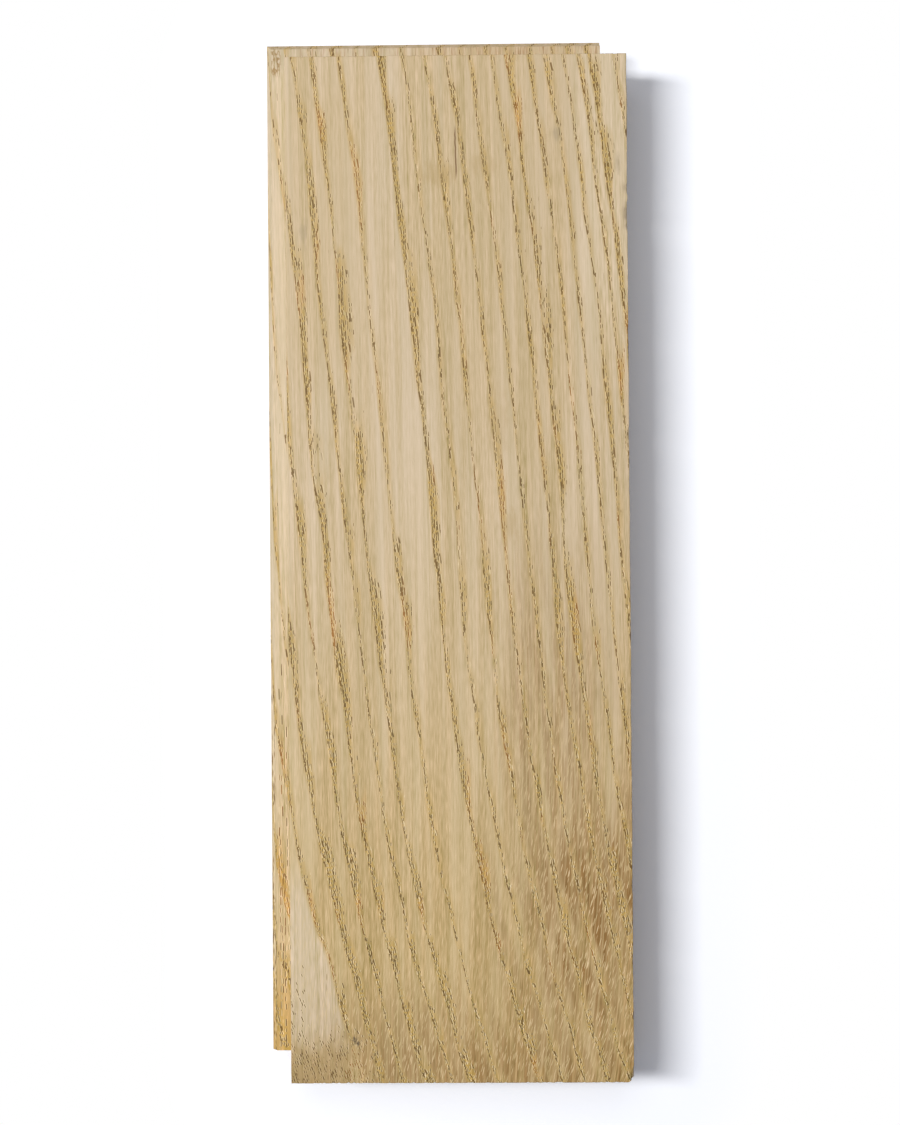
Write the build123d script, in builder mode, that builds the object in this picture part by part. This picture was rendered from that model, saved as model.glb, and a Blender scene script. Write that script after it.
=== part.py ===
from build123d import *
import os

# A solid oak parquet block for a herringbone floor, in millimetres.
# The block lies face up. X runs across its width, Y along its grain and Z up.
# The origin is the middle of the underside, below the middle of the face.
# One long side (-X) and one end (+Y) carry a tongue. The side and the end
# opposite them are grooved, so that every block locks to its neighbours.

# The face that is walked on, and the board it is planed from
face_width = 70.0
face_length = 3 * face_width  # three blocks side by side are as wide as one is long
thickness = 20.0

# The joint, the same on the sides and on the ends
wear_layer = 8.0  # wood above the tongue, which can be sanded away
tongue_thickness = 5.0
tongue_projection = 4.5
groove_depth = 5.0  # deeper than the tongue is long, so that the faces close first
groove_play = 0.15  # room above and below the tongue
lower_setback = 0.3  # the wood below the joint stands back, for the same reason

# How the edges are finished
tongue_chamfer = 0.9
groove_root_radius = 0.4
mouth_chamfer = 0.4
face_arris_radius = 0.2
underside_chamfer = 0.5
knocked_corner = 1.0  # the corner between the two grooves has been knocked off

tongue_top = thickness - wear_layer
tongue_bottom = tongue_top - tongue_thickness
tongue_middle = (tongue_top + tongue_bottom) / 2
groove_height = tongue_thickness + 2 * groove_play

SIT_ON_LINE = (Align.CENTER, Align.MIN)
FROM_LEFT = (Align.MIN, Align.CENTER)
FROM_RIGHT = (Align.MAX, Align.CENTER)


def joint_section(span):
    """The section that the cutters leave, from the tongue at -X to the groove at +X.

    span is the distance that the face covers. The section stands on its own X axis.
    """
    with BuildSketch() as section:
        # Below the joint, then above it
        Rectangle(span - 2 * lower_setback, tongue_middle, align=SIT_ON_LINE)
        with Locations((0, tongue_middle)):
            Rectangle(span, thickness - tongue_middle, align=SIT_ON_LINE)
        with Locations((-span / 2 - tongue_projection, tongue_middle)):
            Rectangle(span / 2, tongue_thickness, align=FROM_LEFT)
        with Locations((span / 2, tongue_middle)):
            Rectangle(groove_depth, groove_height, align=FROM_RIGHT, mode=Mode.SUBTRACT)

        # The nose of the tongue is chamfered, and the root of the groove is rounded
        nose = section.vertices().group_by(Axis.X)[0]
        chamfer(nose, length=tongue_chamfer)
        groove_line = span / 2 - groove_depth
        root = section.vertices().filter_by_position(Axis.X, groove_line - 0.1, groove_line + 0.1)
        fillet(root, radius=groove_root_radius)

        # The lips of the groove are eased to let the tongue in
        lips = (
            section.vertices()
            .filter_by_position(Axis.X, span / 2 - lower_setback - 0.1, span / 2 + 0.1)
            .filter_by_position(Axis.Y, tongue_bottom - 1, tongue_top + 1)
        )
        chamfer(lips, length=mouth_chamfer)

        # The face keeps a nearly sharp edge, and the underside a broken one
        fillet(section.vertices().group_by(Axis.Y)[-1], radius=face_arris_radius)
        chamfer(section.vertices().group_by(Axis.Y)[0], length=underside_chamfer)
    return section.sketch


# Seen from the -X side, so that the tongue of the ends falls at +Y
end_plane = Plane(origin=(0, 0, 0), x_dir=(0, -1, 0), z_dir=(-1, 0, 0))

with BuildPart() as parquet_block:
    # The planer cuts the long sides, past where the ends will be
    with BuildSketch(Plane.XZ):
        add(joint_section(face_width))
    extrude(amount=face_length, both=True)

    # The end cutters then pass over everything, the tongue and groove included.
    # So each tongue stops short by the depth of the groove that crosses it,
    # and the two tongues run together round the corner that they share.
    with BuildSketch(end_plane):
        add(joint_section(face_length))
    extrude(amount=face_width, both=True, mode=Mode.INTERSECT)

    # The knocked corner is only in the wood above the joint
    with BuildSketch(Plane.XY.offset(tongue_middle)):
        with BuildLine():
            corner = (face_width / 2, -face_length / 2)
            Polyline(
                corner,
                (corner[0], corner[1] + knocked_corner),
                (corner[0] - knocked_corner, corner[1]),
                close=True,
            )
        make_face()
    extrude(amount=thickness - tongue_middle, mode=Mode.SUBTRACT)

parquet_block.part.label = "parquet_block"
os.makedirs("parts", exist_ok=True)
export_step(parquet_block.part, "parts/parquet_block.step")

size = parquet_block.part.bounding_box().size
print("overall", round(size.X, 2), "x", round(size.Y, 2), "x", round(size.Z, 2), "mm")
print("volume", round(parquet_block.part.volume / 1000, 1), "cubic centimetres")
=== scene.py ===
from math import pi, radians

import bmesh
import bpy
from mathutils import Euler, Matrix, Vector, noise


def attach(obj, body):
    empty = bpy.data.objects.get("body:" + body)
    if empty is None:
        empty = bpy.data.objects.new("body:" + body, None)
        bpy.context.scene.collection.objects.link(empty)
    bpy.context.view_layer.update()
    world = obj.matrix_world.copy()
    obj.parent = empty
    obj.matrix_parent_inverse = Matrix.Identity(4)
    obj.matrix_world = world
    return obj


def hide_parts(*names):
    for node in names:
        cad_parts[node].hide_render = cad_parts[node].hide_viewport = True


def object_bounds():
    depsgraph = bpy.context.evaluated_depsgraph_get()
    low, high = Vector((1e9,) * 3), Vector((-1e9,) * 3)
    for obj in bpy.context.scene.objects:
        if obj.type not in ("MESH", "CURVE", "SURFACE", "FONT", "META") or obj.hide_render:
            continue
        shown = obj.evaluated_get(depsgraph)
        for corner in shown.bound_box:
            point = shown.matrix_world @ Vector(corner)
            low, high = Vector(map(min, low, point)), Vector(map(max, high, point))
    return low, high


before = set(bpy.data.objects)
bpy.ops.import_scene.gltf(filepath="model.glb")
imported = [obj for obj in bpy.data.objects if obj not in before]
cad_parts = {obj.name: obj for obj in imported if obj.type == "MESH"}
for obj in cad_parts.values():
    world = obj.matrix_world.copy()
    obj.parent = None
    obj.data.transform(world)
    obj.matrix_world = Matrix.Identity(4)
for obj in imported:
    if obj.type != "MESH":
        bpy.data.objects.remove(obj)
cad_low, cad_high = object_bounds()


# The camera
# A still camera looks down on the block from about 40 centimetres above its face.
# It stands nearly square over the middle, and is turned and tipped by a degree or so.

photo_height = 1125  # pixels, on the long side of the frame
focal_length_in_pixels = 1998.2
sensor_long_side = 36.0
face_height = cad_high.z
camera_above_face = 0.408
camera_offset = (0.0043, -0.0013)
camera_tip = (radians(0.341), radians(0.859), radians(-0.412))

camera_data = bpy.data.cameras.new("camera")
camera_data.sensor_width = sensor_long_side
camera_data.lens = sensor_long_side * focal_length_in_pixels / photo_height
camera = bpy.data.objects.new("camera", camera_data)
camera.location = (*camera_offset, face_height + camera_above_face)
camera.rotation_euler = Euler(camera_tip)
bpy.context.collection.objects.link(camera)
bpy.context.scene.camera = camera


# The block
# One piece of solid oak, planed on its faces and milled along its four edges, with no finish on it.
# Handling has bruised its sharp upper edge and chipped it where the grain is short.

MM = 0.001
half_width = 35.0 * MM
half_length = 105.0 * MM

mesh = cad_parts["parquet_block"].data.copy()
block_mesh = bmesh.new()
block_mesh.from_mesh(mesh)
bmesh.ops.remove_doubles(block_mesh, verts=block_mesh.verts, dist=0.001 * MM)
bmesh.ops.dissolve_limit(
    block_mesh, angle_limit=radians(1), verts=block_mesh.verts, edges=block_mesh.edges
)

# The top of the sides and the arris above it are cut into short lengths, for the wear
worn_depth = 1.4 * MM
arris_depth = 0.6 * MM
cut_spacing = 0.4 * MM
slack = 0.01 * MM


def slice_block(point, normal):
    """Cuts new edges all round the block, in the plane through point."""
    everything = [*block_mesh.verts, *block_mesh.edges, *block_mesh.faces]
    bmesh.ops.bisect_plane(
        block_mesh, geom=everything, dist=0.0001 * MM, plane_co=point, plane_no=normal
    )


for depth in (worn_depth, arris_depth):
    slice_block((0, 0, face_height - depth), (0, 0, 1))
for side in (-1, 1):
    for half, outwards in ((half_width, Vector((1, 0, 0))), (half_length, Vector((0, 1, 0)))):
        for depth in (worn_depth, arris_depth):
            slice_block(outwards * side * (half - depth), outwards)

sides_and_ends = ((0, half_width, 1, half_length), (1, half_length, 0, half_width))
for axis, half, other_axis, other_half in sides_and_ends:
    strips = [
        edge
        for edge in block_mesh.edges
        if all(
            abs(v.co[axis]) > half - worn_depth - slack and v.co.z > face_height - worn_depth - slack
            for v in edge.verts
        )
        and abs(edge.verts[0].co[other_axis] - edge.verts[1].co[other_axis]) > other_half
    ]
    cuts = round(2 * other_half / cut_spacing)
    bmesh.ops.subdivide_edges(block_mesh, edges=strips, cuts=cuts, use_grid_fill=True)

# Nicks along the grooved side, as (place along the block, length, depth) in mm
nicks = (
    (77.4, 2.6, 0.35), (72.4, 5.5, 0.45), (69.6, 2.0, 0.30), (48.0, 4.0, 0.15), (27.2, 3.0, 0.30),
    (-30.0, 6.0, 0.15), (-65.0, 3.5, 0.25), (-81.0, 5.0, 0.30), (-104.0, 5.0, 0.55),
)
side_reach = 0.55 * MM
arris_reach = 0.3 * MM


def rubbed(x, y):
    """How far the arris of the sides is rubbed back: unevenly, with small bruises."""
    worn = max(0.0, noise.noise(Vector((x, y, 0)) / (7 * MM)) * 0.10 + 0.03)
    bruised = max(0.0, noise.noise(Vector((x, y, 5)) / (0.9 * MM))) * 0.06
    return (worn + bruised) * MM


def nicked(y, z):
    """How deep the nicks of the grooved side are at this place, with rough floors."""
    deepest = 0.0
    rough = 0.75 + 0.5 * noise.noise(Vector((y / MM * 2.1, z / MM * 1.7, 3)))
    for middle, length, depth in nicks:
        away = abs(y / MM - middle) / (length / 2)
        if away < 1:
            deepest = max(deepest, depth * MM * (1 - away ** 2) * rough)
    return deepest


def torn(x, y, z):
    """How far the ends, which are cut across the fibres, are torn back."""
    return max(0.0, noise.noise(Vector((x / 0.5, y / 4, z / 2)) / MM) - 0.05) * 0.28 * MM


for vert in block_mesh.verts:
    x, y, z = vert.co
    below = face_height - z
    if below > worn_depth * 0.99:
        continue
    near = 1 - below / worn_depth
    from_side = half_width - abs(x)
    from_end = half_length - abs(y)
    if from_side < side_reach:
        pressed = (rubbed(x, y) + (nicked(y, z) if x > 0 else 0.0)) * near
        vert.co.x -= pressed if x > 0 else -pressed
        if from_side < arris_reach:
            vert.co.z -= pressed * 0.5
    if from_end < side_reach:
        pressed = torn(x, y, z) * near
        vert.co.y -= pressed if y > 0 else -pressed
        if from_end < arris_reach:
            vert.co.z -= pressed * 0.6

sharp_angle = radians(35)
for edge in block_mesh.edges:
    edge.smooth = edge.calc_face_angle(pi) < sharp_angle
for face in block_mesh.faces:
    face.smooth = True
block_mesh.to_mesh(mesh)
block_mesh.free()
mesh.materials.clear()

oak = bpy.data.materials.new("bare_oak")
oak.use_nodes = True
oak.node_tree.nodes.clear()


class Shade:
    """One value in a material. Sums written with it add the nodes that work them out."""

    def __init__(self, tree, socket):
        self.tree = tree
        self.socket = socket

    def node(self, kind, settings, sockets, output=0):
        """Adds a node, sets it up, joins its sockets and returns one of its outputs."""
        made = self.tree.nodes.new("ShaderNode" + kind)
        for name, value in settings.items():
            if name == "points":
                curve = made.mapping.curves[0]
                while len(curve.points) < len(value):
                    curve.points.new(1.0, 1.0)
                for point, place in zip(curve.points, value):
                    point.location = place
                    point.handle_type = "VECTOR"
                made.mapping.update()
            else:
                setattr(made, name, value)
        for name, value in sockets.items():
            if isinstance(value, Shade):
                self.tree.links.new(value.socket, made.inputs[name])
            else:
                made.inputs[name].default_value = value
        return Shade(self.tree, made.outputs[output] if made.outputs else None)

    def beside(self, output):
        """Another output of the node that this one comes from."""
        return Shade(self.tree, self.socket.node.outputs[output])

    def math(self, operation, *values):
        return self.node("Math", {"operation": operation}, dict(enumerate(values)))

    def __add__(self, other):
        return self.math("ADD", self, other)

    def __sub__(self, other):
        return self.math("SUBTRACT", self, other)

    def __rsub__(self, other):
        return self.math("SUBTRACT", other, self)

    def __mul__(self, other):
        return self.math("MULTIPLY", self, other)

    def __truediv__(self, other):
        return self.math("DIVIDE", self, other)

    def __rtruediv__(self, other):
        return self.math("DIVIDE", other, self)

    def __abs__(self):
        return self.math("ABSOLUTE", self)

    __radd__ = __add__
    __rmul__ = __mul__

    def between(self, low, high, bottom=0.0, top=1.0):
        """Goes smoothly from bottom to top while this goes from low to high."""
        return self.node(
            "MapRange",
            {"interpolation_type": "SMOOTHSTEP"},
            {0: self, 1: low, 2: high, 3: bottom, 4: top},
        )

    def tint(self, under, over):
        """Lays the colour over on the colour under, as much as this says."""
        settings = {"data_type": "RGBA", "clamp_factor": True}
        return self.node("Mix", settings, {0: self, 6: under, 7: over}, output=2)


def largest(first, *others):
    """The largest of several values at each point."""
    for other in others:
        first = first.math("MAXIMUM", first, other)
    return first


def tone(red, green, blue):
    """A colour as the eye meets it, out of 255, turned into the light it returns."""
    parts = [value / 255 for value in (red, green, blue)]
    return (*[p / 12.92 if p <= 0.04045 else ((p + 0.055) / 1.055) ** 2.4 for p in parts], 1.0)


# The wood is worked out as a solid, so that each surface cut in it shows its own figure.
# All its places and sizes are in millimetres from here on.
mm_per_metre = 1000
start = Shade(oak.node_tree, None)
place = start.node("SeparateXYZ", {}, {0: start.node("TexCoord", {}, {}, output="Object")})
across = place * mm_per_metre
along = place.beside(1) * mm_per_metre
height = place.beside(2) * mm_per_metre
facing = start.node("SeparateXYZ", {}, {0: start.node("TexCoord", {}, {}, output="Normal")})
end_grain = abs(facing.beside(1)).between(0.5, 0.85)

board_thickness = 20.0
tongue_top = 12.2
block_end = 105.0
walked_on = height.between(board_thickness - 0.25, board_thickness - 0.05)
above_tongue = height.between(tongue_top, tongue_top + 1.3)
under_wear_layer = height.between(tongue_top, tongue_top + 1.0, 1.0, 0.0)
on_tongue = across.between(-35.3, -34.9, 1.0, 0.0) * under_wear_layer

# Where a fibre lies in the section of the board, found by following it along the grain.
# Towards the grooved end the fibres swing back to the other side, past a knot that was cut off.
t = along / 100  # from -1 at the grooved end to 1 at the tongued one
fibre_drift = -1.5
dip_slope = -5.56
dip_bend = 2.4
dip_twist = -2.5
dip = t * (t * (t * dip_twist + dip_bend) + dip_slope)
fibre_x = across - t * fibre_drift
fibre_z = height - board_thickness - dip
swing_from = 15
swing_over = 90
swing_reach = 7.5
past_start = largest((along * -1 - swing_from) / swing_over, 0.0)
swing = past_start * past_start * across.between(-10, 28, 0.15, 1.0) * swing_reach
grain_x = fibre_x + swing


def spot(x, y, z):
    """A place in a pattern, put together from three values."""
    return start.node("CombineXYZ", {}, {0: x, 1: y, 2: z})


def mottling(place, detail=2.0):
    """Soft noise from 0 to 1, and mostly near a half."""
    return start.node("TexNoise", {}, {"Vector": place, "Scale": 1.0, "Detail": detail})


def wood(x_size, y_size, z_size, detail=2.0, seed=0.0):
    """Mottling whose patches have these sizes across, along and through the wood."""
    return mottling(spot(grain_x / x_size, along / y_size, fibre_z / z_size + seed), detail)


def plank(x_size, y_size, z_size, detail=2.0, seed=0.0):
    """Streaks of these sizes, which lie level with the face and so run far along it."""
    return mottling(spot(grain_x / x_size, along / y_size, height / z_size + seed), detail)


def away_from(middle_x, middle_y, reach_x, reach_y):
    """How far a point is from a place on the face, in reaches."""
    offset = spot((across - middle_x) / reach_x, (along - middle_y) / reach_y, 0.0)
    return start.node("VectorMath", {"operation": "LENGTH"}, {0: offset}, output="Value")


def curve(points, value):
    """The height of a line drawn through points, where its foot is at value."""
    return start.node("FloatCurve", {"points": points}, {"Factor": 1.0, "Value": value})


def part_of(colour, number):
    """The red, green or blue of a colour, used as a chance from 0 to 1."""
    return start.node("SeparateColor", {}, {0: colour}, output=number)


# The yearly rings lean over in the section. The list gives how far apart they start,
# across the face at the middle of the block, from the tongue's side outwards.
ring_lean = 1.6
usual_ring = 4.7
first_seen_ring = -41.5
seen_rings = (
    4.6, 4.9, 4.5, 5.1, 3.7, 5.9, 8.0, 4.7, 4.9, 4.7, 4.5, 4.8, 3.0, 4.3, 3.7, 3.5, 3.1, 2.4,
)
hidden_rings_before = 12
hidden_rings_after = 4
ring_widths = (
    (usual_ring,) * hidden_rings_before + seen_rings + (usual_ring,) * hidden_rings_after
)
rings_from = first_seen_ring - usual_ring * hidden_rings_before
rings_span = sum(ring_widths)
rings = len(ring_widths)
longest_ring = 10.0
ring_points = [(0.0, 0.0)]
width_points = []
reached = 0.0
for number, width in enumerate(ring_widths):
    reached += width
    ring_points.append((reached / rings_span, (number + 1) / rings))
    width_points.append(((number + 0.5) / rings, width / longest_ring))

slow_wander = 3.0
quick_wander = 1.8
wander = (wood(30, 120, 30) - 0.5) * slow_wander + (wood(4, 30, 4, seed=5) - 0.5) * quick_wander
level_growth = fibre_x + fibre_z * ring_lean + wander

# By the corner with the tongue the knot has spread the rings, which leaves a plain pale patch.
# In it the wood grows no younger than patch_growth, and blends into the rings round it.
patch_growth = -43.6
patch_blend = 1.5
patch_width = 1.9
patch_lean = across.between(-27, -12, 1.0, 0.0) * along.between(-88, -68, 1.4, 0.0)
patch_side = across.between(-26, -19, 1.0, 0.0) * along.between(-70, -56, 1.0, 0.0) * above_tongue
spread_growth = start.math("SMOOTH_MAX", level_growth, patch_growth, patch_blend)
growth = level_growth + patch_side * (spread_growth - level_growth) - patch_lean
year = curve(ring_points, (growth - rings_from) / rings_span) * rings
ring_number = start.math("FLOOR", year)
ring_width = curve(width_points, (ring_number + 0.5) / rings) * longest_ring
since_spring = start.math("FRACT", year) * ring_width
until_spring = ring_width - since_spring
ring_strength = start.node("TexWhiteNoise", {"noise_dimensions": "1D"}, {"W": ring_number})

# Spring wood is full of wide vessels, which the plane opens as short grooves. They crowd
# together at the start of the year and thin out after it. Some stretches have many, some few.
stretches = wood(2.4, 24, 2.4, seed=9)
by_patch = across.between(-28, -16, 1.0, 0.0) * along.between(-60, -50, 1.0, 0.0)

# Stretches where the vessels are crowded, as (across, along, reach across, reach along)
crowded_places = (
    (-30.0, 74.0, 3.0, 24.0), (-15.5, 92.0, 2.0, 14.0), (-10.5, -2.0, 3.0, 34.0),
    (-5.0, 13.0, 2.0, 9.0), (-12.0, 63.0, 2.5, 15.0), (-24.0, 96.0, 2.0, 12.0),
    (-20.5, 52.0, 2.5, 12.0),
)
crowded = largest(*[away_from(*stretch).between(0.4, 1.3, 1.0, 0.0) for stretch in crowded_places])
vigour = (stretches - 0.5) * 2.4 + (ring_strength - 0.5) * 0.7 + by_patch * 0.35
vigour = (vigour + crowded * 0.45 + 0.42).between(-0.1, 1.1)
least_spring = 0.9
more_spring = 1.9
spring_width = vigour * vigour * more_spring + least_spring
crowding = largest(1.0 - since_spring / spring_width, 0.0) * (vigour * 0.45 + 0.55)
spring = since_spring.between(0.0, 0.1) * start.math("MINIMUM", crowding * 1.5, 1.0)
glow = largest(
    until_spring.between(0.0, 0.45, 1.0, 0.0), since_spring.between(0.5, 1.9, 1.0, 0.0)
)

# Beside the knot there is no order in them
knot_slant = -0.15
knot_raggedness = 8
knot_border = along + across * knot_slant + (wood(2, 4, 2, seed=31) - 0.5) * knot_raggedness
knot_side = knot_border.between(-97, -89, 1.0, 0.0) * across.between(-25, -15, 1.0, 0.0)
knot_side = knot_side * above_tongue
scatter = wood(1.0, 3, 1.0, seed=33).between(0.42, 0.60)
scattered = scatter * knot_side
by_edge = scatter * along.between(-88, -76, 1.0, 0.0) * across.between(-34, -30, 1.0, 0.0)
spread_out = patch_side * (patch_growth + patch_width - growth).between(-0.4, 0.6)
ordered = 1.0 - largest(knot_side, spread_out)
spring = spring * ordered

# Single wide vessels, opened as grooves where a chance of their own lets them be
vessel_spacing = 0.30
vessel_length = 3.4
vessel_radius = 0.20
vessel_z = height - board_thickness - dip * 0.45
vessel_place = spot(grain_x / vessel_spacing, along / vessel_length, vessel_z / vessel_spacing)
nearest = start.node("TexVoronoi", {}, {"Vector": vessel_place, "Scale": 1.0}, output="Distance")
luck = part_of(nearest.beside("Color"), 0)
size = part_of(nearest.beside("Color"), 1)
vessel_crowd = spring * spring * 0.22 + scattered * 0.4 + spread_out * 0.03
wide_vessel = (vessel_crowd - luck).between(-0.02, 0.04)
wide_vessel = wide_vessel * (size * 0.12 + vessel_radius - nearest).between(-0.03, 0.07)


line_sway = 0.42  # how far dashes stand off their line on either side together, in spacings
# where the painted highlight stands beside each dash's line, in spacings
rim_highlight_place = 0.36


def vessel_lines(line, band, length, crowd):
    """Vessels that stand in lines and are opened as dashes of this length, with painted highlights on their
    rims.

    line counts the lines, band keeps their chances apart from those of other lines, and
    crowd says how likely a dash is. Returns the dashes and the painted highlights on their rims.
    """
    line_number = start.math("FLOOR", line) + band
    line_chance = start.node("TexWhiteNoise", {"noise_dimensions": "1D"}, {"W": line_number})
    dash = along / length + line_chance * 40 + fibre_z * 2.5
    dash_place = spot(line_number, start.math("FLOOR", dash), 0.0)
    chances = start.node(
        "TexWhiteNoise", {"noise_dimensions": "2D"}, {"Vector": dash_place}, output="Color"
    )
    luck = part_of(chances, 0)
    aside = part_of(chances, 1)
    reach = part_of(chances, 2)
    from_line = abs(start.math("FRACT", line) - 0.5 + (aside - 0.5) * line_sway)
    from_middle = abs(start.math("FRACT", dash) - 0.5)
    there = (crowd - luck).between(-0.02, 0.10)
    there = there * (reach * 0.26 + 0.20 - from_middle).between(-0.07, 0.07)
    dashes = there * (reach * 0.12 + 0.12 - from_line).between(-0.04, 0.04)
    # A painted highlight on both sides of each dash, a little way off its line
    rim_highlights = there * (0.10 - abs(from_line - rim_highlight_place)).between(-0.06, 0.05)
    return dashes, rim_highlights


# Short dashes follow the fibres, and long ones follow the start of the ring
short_spacing = 0.42
short_dash = 1.2
short_band = 700.0
long_spacing = 0.58
long_dash = 3.2
lines_in_a_ring = 31
wobble = 0.28
first_line = since_spring.between(0.1, 0.9, 0.30, 0.0) * since_spring.between(0.0, 0.1)
line_crowd = (spring * 0.92 + first_line * (vigour + 0.5) * ordered) * (1.0 - on_tongue * 0.6)
line_wobble = (wood(0.8, 5, 0.8, detail=1.0, seed=44) - 0.5) * wobble
short_lines, short_rim_highlights = vessel_lines(
    grain_x / short_spacing + line_wobble, short_band, short_dash, line_crowd
)
long_band = ring_number * lines_in_a_ring
long_lines, long_rim_highlights = vessel_lines(
    (since_spring + line_wobble) / long_spacing, long_band, long_dash, line_crowd * 0.8
)

# The side tongue is milled along its fibres, which opens its vessels for a long way.
# Beside the knot they come up steeply, and are opened for a short way.
straight_spacing = 0.5
straight_band = 900.0
straight_dash = 5.0 - walked_on * 3.6
opened_far = plank(0.7, 45, 0.7, detail=1.0, seed=71).between(0.44, 0.56)
tongue_crowd = on_tongue * along.between(-62, -10, 0.85, 0.05) * opened_far
straight_crowd = tongue_crowd + walked_on * (scattered * 1.6 + by_edge * 0.7)
straight_place = across / straight_spacing + line_wobble * 1.5 + walked_on * (along * 0.7)
straight_lines, straight_rim_highlights = vessel_lines(
    straight_place, straight_band, straight_dash, straight_crowd
)
vessel = largest(wide_vessel, short_lines, long_lines * 0.9, straight_lines)
# Painted highlights on the rims of the dashes, kept off the vessels themselves
painted_rim_highlight = largest(short_rim_highlights, long_rim_highlights, straight_rim_highlights) * (1.0 - vessel)

# Rays are thin sheets that run from the pith outwards, at right angles to the rings
ray_thickness = 0.23
ray_length = 2.9
ray_height = 9.0
ray_opening = 0.36
round_the_pith = grain_x * 0.85 - fibre_z * 0.53 - along * 0.09
out_from_pith = (grain_x + fibre_z * ring_lean) / 1.89
ray_place = spot(round_the_pith / ray_thickness, along / ray_length, out_from_pith / ray_height)
ray_distance = start.node("TexVoronoi", {}, {"Vector": ray_place, "Scale": 1.0}, output="Distance")
ray = (ray_opening - ray_distance).between(0.0, 0.12)

# The wood between the vessels, pale and greyer at the tongued end and golden at the other
pale = tone(212, 190, 156)
warm = tone(202, 177, 134)
low_pale = tone(207, 181, 130)
low_warm = tone(194, 164, 107)
light_cream = tone(219, 198, 162)
patch_pale = tone(213, 192, 157)

fibres = plank(0.22, 3.0, 0.22, detail=1.0, seed=41) - 0.5
fine_streaks = plank(0.34, 30, 0.34, detail=3.0, seed=2) - 0.5
thin_streaks = plank(0.9, 80, 0.9, detail=4.0, seed=12) - 0.5
broad_streaks = plank(2.4, 90, 2.4, seed=3)
zones = wood(14, 90, 14, seed=4)
lowness = (along + (zones - 0.5) * 60).between(-95, 42, 1.0, 0.0)
light_wood = lowness.tint(pale, low_pale)
dark_wood = lowness.tint(warm, low_warm)
colour = (zones * 0.5 + broad_streaks * 0.8 - 0.15).between(0.34, 0.66).tint(light_wood, dark_wood)

warm_zone = across.between(-6, 2) * across.between(21, 27, 1.0, 0.0) * along.between(10, 40)
left_zone = across.between(-25, -12, 1.0, 0.0) * along.between(28, 50)
left_zone = left_zone * along.between(94, 104, 1.0, 0.4)
zone = largest(warm_zone, left_zone * 1.1) * (broad_streaks * 0.9 + 0.2)
light_zone = across.between(22, 28) * along.between(30, 60) * 0.5
plain_patch = spread_out * (1.0 - knot_side)
colour = zone.tint(colour, warm)
colour = light_zone.tint(colour, light_cream)
colour = (plain_patch * 0.85).tint(colour, patch_pale)

# Brown heartwood shows through near the corner between the grooves, in bands like the rings.
# The rays are easiest to see in it.
brown_cast = tone(144, 104, 44)
ray_light = tone(218, 191, 141)
cast_bands = mottling(spot(growth / 3.4, along / 34, fibre_z / 12)).between(0.30, 0.56, 0.15, 1.0)
cast_streaks = plank(0.4, 14, 0.4, detail=3.0, seed=15).between(0.36, 0.60, 0.35, 1.0)
right_cast = across.between(-2, 24) * along.between(-72, -22, 1.0, 0.0)
right_cast = right_cast * along.between(-100, -78, 0.42, 1.0)
end_cast = along.between(-104, -76, 1.0, 0.0) * across.between(-34, -12, 0.35, 1.0) * 0.8
mid_cast = across.between(4, 14) * across.between(22, 33, 1.0, 0.3)
mid_cast = mid_cast * along.between(-34, 24, 0.60, 0.0)
edge_cast = across.between(18, 33) * along.between(-60, -42, 1.0, 0.0) * along.between(-100, -84)
cast = largest(right_cast, mid_cast, end_cast) * cast_bands + edge_cast * 0.22
cast = cast * cast_streaks * (1.0 - glow * 0.35)
colour = cast.tint(colour, brown_cast)
colour = (ray * (cast * 0.9 + lowness * lowness * 0.45 + 0.04)).tint(colour, ray_light)

# Milled surfaces are fresher and more golden, and the ends drink in dirt and light
fresh_cream = tone(214, 202, 178)
low_cream = tone(208, 188, 150)
tongue_gold = tone(200, 159, 84)
end_brown = tone(156, 118, 70)
milled = under_wear_layer * (1.0 - end_grain)
crosscut = milled * (abs(along) - block_end).between(0.0, 0.2)
freshness = milled * (0.42 - crosscut * across.between(-16, -4) * 0.34)
torn_fibres = across.between(-37, -30, 0.1, 1.0) * (fibres * 3 + across.between(-8, 4) * 0.13)
colour = freshness.tint(colour, lowness.tint(fresh_cream, low_cream))
colour = (on_tongue * along.between(-98, -70, 0.85, 0.0)).tint(colour, tongue_gold)
colour = (crosscut * torn_fibres).tint(colour, end_brown)
colour = (end_grain * (end_grain * 0.45 + spring * 0.35)).tint(colour, end_brown)

# Spring wood glows golden, and its open vessels are dark, with painted highlights on their rims and painted
# light on the walls of their amber stretches
spring_gold = tone(190, 156, 84)
spring_olive = tone(188, 152, 68)
spring_amber = tone(198, 150, 64)
knot_brown = tone(166, 136, 84)
rim_highlight_colour = tone(244, 225, 178)
vessel_brown = tone(110, 76, 0)
# Amber for the vessels: partly their own golden colour, partly painted light where the groove walls catch
# the lamp
vessel_amber_and_wall_light = tone(146, 92, 4)
low_vessel = tone(102, 70, 0)
# Stretches where the spring wood is amber, and where the vessels take painted light on their walls
amber_and_wall_light = (wood(4, 22, 4, detail=1.0, seed=21) + crowded * 0.05).between(0.56, 0.72)
glow = glow * ordered * (1.0 - on_tongue * 0.6)
gilding = stretches.between(0.30, 0.64) * 0.40 + crowded * 0.20 + 0.06
# Opened vessels are dark brown; in the amber stretches, painted light on the groove walls is added to their
# own golden colour
opened_colour_and_wall_light = amber_and_wall_light.tint(lowness.tint(vessel_brown, low_vessel), vessel_amber_and_wall_light)
colour = (glow * gilding).tint(colour, spring_gold)
colour = (spring * (vigour * 0.48 + 0.42)).tint(colour, amber_and_wall_light.tint(spring_olive, spring_amber))
colour = (knot_side * across.between(-27, -20, 0.65, 0.0) * walked_on).tint(colour, knot_brown)
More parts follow.
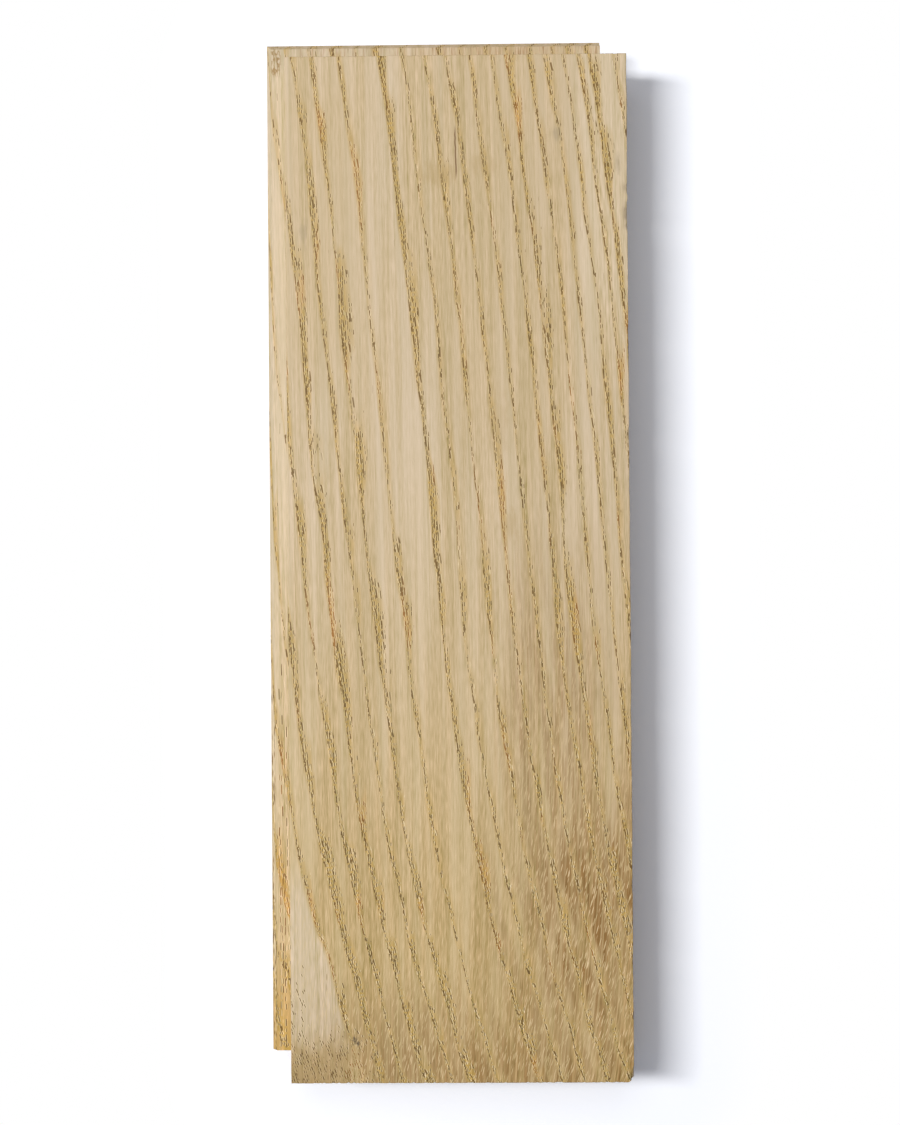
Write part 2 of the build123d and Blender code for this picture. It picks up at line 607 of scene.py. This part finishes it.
# Painted highlights along the rims of the dashes, stronger towards the grooved end and weaker beside the
# knot
colour = (painted_rim_highlight * (lowness * 0.24 + 0.46) * (1.0 - knot_side * 0.6)).tint(colour, rim_highlight_colour)
# The opened vessels, with painted light on the walls of their amber stretches
colour = (vessel * 0.95).tint(colour, opened_colour_and_wall_light)

# Streaks darken and lighten everything, and change its blue 1.7 times as much as the rest
blue_swing = 1.7
blue_base = -0.69
patchiness = zones * 0.8 + (broad_streaks * 2.4 - 0.8)
busy = glow * 0.5 + lowness * 0.45 + 0.45
shading = (fibres * busy + fine_streaks * (lowness * 0.24 + 0.52)) * patchiness + thin_streaks * 0.46 + 0.98
blue_shading = shading * blue_swing + blue_base
shade = start.node("CombineColor", {}, {0: shading, 1: shading, 2: blue_shading})
multiply = {"data_type": "RGBA", "blend_type": "MULTIPLY"}
colour = start.node("Mix", multiply, {0: 1.0, 6: colour, 7: shade}, output=2)

# The stub of a twig that the plane cut through
twig_dark = tone(70, 54, 36)
twig = (-21.8, -96.4, 1.0, 1.25)  # across, along, reach across, reach along
twig_distance = away_from(*twig) + (wood(0.6, 1.2, 0.6, seed=50) - 0.5) * 3
twig_stub = twig_distance.between(0.2, 0.9, 1.0, 0.0) * walked_on
colour = (twig_stub * 0.8).tint(colour, twig_dark)

# Marks from handling, as (across, along, reach across, reach along, strength)
mark_grey = tone(138, 124, 98)
mark_olive = tone(180, 152, 98)
grey_marks = (
    (20.7, 88.6, 1.0, 2.6, 0.35), (33.0, 82.5, 0.9, 2.4, 0.30), (-31.2, 69.0, 1.0, 3.4, 0.28),
)
olive_marks = (
    (-3.5, 80.5, 4.5, 3.2, 0.42), (6.0, 82.5, 3.5, 2.8, 0.32), (10.4, 8.7, 2.2, 4.5, 0.35),
    (8.0, 30.0, 3.0, 9.0, 0.25),
)
ragged = (wood(0.8, 2.2, 0.8, detail=3.0, seed=60) - 0.5) * 1.6
for marks, mark_colour in ((grey_marks, mark_grey), (olive_marks, mark_olive)):
    for x, y, reach_x, reach_y, strength in marks:
        mark = (away_from(x, y, reach_x, reach_y) + ragged).between(0.3, 1.1, 1.0, 0.0)
        colour = (mark * walked_on * strength).tint(colour, mark_colour)

# A fine drying crack, along the grain
crack_brown = tone(118, 82, 36)
crack_middle = 85.0
crack_slant = 0.012
from_crack = along - crack_middle
crack_line = abs(across + 0.1 + from_crack * crack_slant + (wood(9, 3, 9, seed=70) - 0.5) * 0.5)
crack = crack_line.between(0.06, 0.24, 1.0, 0.0) * abs(from_crack).between(3.5, 6.0, 1.0, 0.0)
colour = (crack * walked_on * 0.9).tint(colour, crack_brown)

# A worm of torn fibres where the two tongues meet
torn_brown = tone(150, 112, 40)
worm = abs(ragged).between(0.04, 0.12, 1.0, 0.0) * along.between(102.5, 103.8)
worm = worm * across.between(-38.8, -38.2) * across.between(-37.0, -36.2, 1.0, 0.0)
colour = (worm * milled * 0.75).tint(colour, torn_brown)

# The fibres are felt as a fine relief, and the wide vessels as grooves
roughness = 0.62
relief_depth = 0.1 * MM
relief_strength = 0.6
relief = fine_streaks * 0.4 - wide_vessel * 1.2
bump = start.node(
    "Bump", {}, {"Strength": relief_strength, "Distance": relief_depth, "Height": relief}
)
surface = start.node(
    "BsdfPrincipled", {}, {"Base Color": colour, "Roughness": roughness, "Normal": bump}
)
start.node("OutputMaterial", {}, {"Surface": surface})
mesh.materials.append(oak)

block = bpy.data.objects.new("oak_block", mesh)
bpy.context.collection.objects.link(block)
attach(block, "root")
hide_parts("parquet_block")


# The studio
# A pale matt table, seen as white a short way from the block and shaded beside it.
# A long soft box to the left and a weaker one behind light it, in a pale room.

table_reach = 3.0
table_mesh = bpy.data.meshes.new("table_top")
table_bmesh = bmesh.new()
bmesh.ops.create_grid(table_bmesh, x_segments=1, y_segments=1, size=table_reach)
table_bmesh.to_mesh(table_mesh)
table_bmesh.free()
table = bpy.data.objects.new("table_top", table_mesh)
bpy.context.collection.objects.link(table)

white = (1.0, 1.0, 1.0, 1.0)
table_grey = (0.8, 0.8, 0.8, 1.0)
table_seen = (1.06, 1.08, 1.13, 1.0)
shadow_lift = 0.03
shadow_reach = (14, 30)  # mm from the block, over which the table turns white

table_finish = bpy.data.materials.new("table")
table_finish.use_nodes = True
table_finish.node_tree.nodes.clear()
top = Shade(table_finish.node_tree, None)
seen = top.node("LightPath", {}, {}, output="Is Camera Ray")
table_place = top.node("SeparateXYZ", {}, {0: top.node("TexCoord", {}, {}, output="Object")})
gap_x = largest((abs(table_place) - half_width) * mm_per_metre, 0.0)
gap_y = largest((abs(table_place.beside(1)) - half_length) * mm_per_metre, 0.0)
gap = top.math("SQRT", gap_x * gap_x + gap_y * gap_y)
matt = top.node("BsdfDiffuse", {}, {"Color": table_grey})
pale_matt = top.node("BsdfDiffuse", {}, {"Color": table_seen})
lift = top.node("Emission", {}, {"Color": white, "Strength": shadow_lift})
plain_white = top.node("Emission", {}, {"Color": white, "Strength": 1.0})
lit = top.node("AddShader", {}, {0: pale_matt, 1: lift})
shown = top.node("MixShader", {}, {0: gap.between(*shadow_reach), 1: lit, 2: plain_white})
table_surface = top.node("MixShader", {}, {0: seen, 1: matt, 2: shown})
top.node("OutputMaterial", {}, {"Surface": table_surface})
table_mesh.materials.append(table_finish)


def soft_box(name, stand, size, share):
    """Hangs a white lamp at stand, aimed at the block, that gives a share of the light on it.

    Its size is measured round the block first, and then outwards from it.
    """
    lamp = bpy.data.lights.new(name, "AREA")
    lamp.shape = "RECTANGLE"
    lamp.size, lamp.size_y = size
    away = Vector(stand)
    lamp.energy = share * pi * pi * away.length_squared / away.normalized().z
    holder = bpy.data.objects.new(name, lamp)
    holder.location = away
    holder.rotation_euler = away.to_track_quat("Z", "Y").to_euler()
    bpy.context.collection.objects.link(holder)


soft_box("key_light", (-0.505, 0.10, 1.0), (0.14, 0.44), 0.67)
soft_box("back_light", (-0.06, 0.32, 1.0), (0.5, 0.5), 0.16)

cool_fill = (0.92, 0.96, 1.12, 1.0)
fill_strength = 0.17
room = bpy.data.worlds.new("room")
room.use_nodes = True
room.node_tree.nodes.clear()
bpy.context.scene.world = room
walls = Shade(room.node_tree, None)
seen = walls.node("LightPath", {}, {}, output="Is Camera Ray")
fill = walls.node("Background", {}, {"Color": cool_fill, "Strength": fill_strength})
backdrop = walls.node("Background", {}, {"Color": white, "Strength": 1.0})
mixed = walls.node("MixShader", {}, {0: seen, 1: fill, 2: backdrop})
walls.node("OutputWorld", {}, {"Surface": mixed})

bpy.context.scene.view_settings.view_transform = "Standard"
